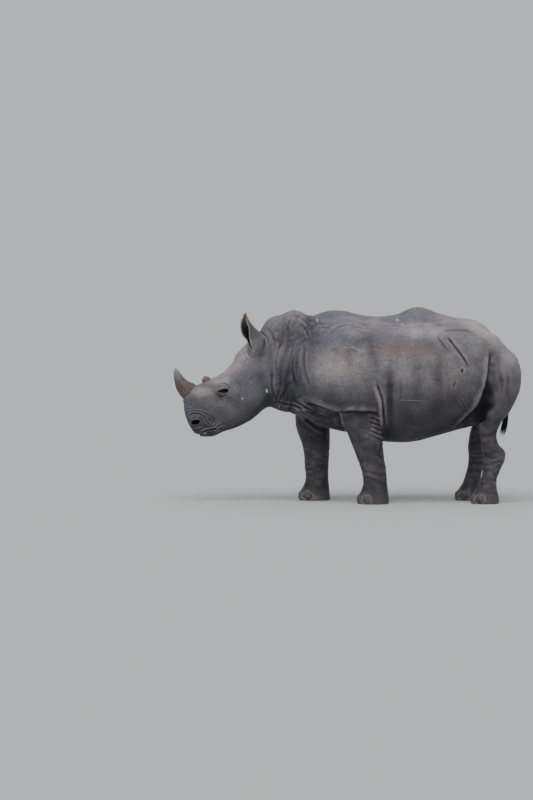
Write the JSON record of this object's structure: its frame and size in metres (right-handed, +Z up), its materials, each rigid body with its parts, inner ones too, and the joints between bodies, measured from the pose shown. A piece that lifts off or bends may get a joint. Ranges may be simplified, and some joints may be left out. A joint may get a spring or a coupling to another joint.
{
  "type": "white rhinoceros",
  "caption": "Life-size white rhinoceros, a young cow walking with her head low, short front horn, tiny rear horn, folded grey hide.",
  "frame": {"origin": "on the floor, under the middle of the animal's bounding box", "axes": "+X from the horn to the rump, so the animal faces -X; +Y to its right side, so its left side is -Y; +Z up"},
  "size_m": [2.807, 0.8508, 1.582],
  "materials": {
    "hide": "dry wrinkled grey-brown hide with dried mud",
    "horn": "fibrous keratin, frayed at the base, rubbed smooth towards the tip",
    "nail": "worn keratin with dried mud",
    "eye": "wet dark brown eye",
    "bristle": "coarse black hair"
  },
  "bodies": {
    "root": {"head": "hide", "neck": "hide", "trunk": "hide", "tail": "hide", "tail_tuft": "bristle", "leg_fore_left": "hide", "leg_fore_right": "hide", "leg_hind_left": "hide", "leg_hind_right": "hide", "ear_left": "hide", "ear_right": "hide", "eye_left": "eye", "eye_right": "eye", "horn_front": "horn", "horn_rear": "horn", "nail_fore_left_inner": "nail", "nail_fore_left_middle": "nail", "nail_fore_left_outer": "nail", "nail_fore_right_inner": "nail", "nail_fore_right_middle": "nail", "nail_fore_right_outer": "nail", "nail_hind_left_inner": "nail", "nail_hind_left_middle": "nail", "nail_hind_left_outer": "nail", "nail_hind_right_inner": "nail", "nail_hind_right_middle": "nail", "nail_hind_right_outer": "nail"}
  },
  "joints": []
}
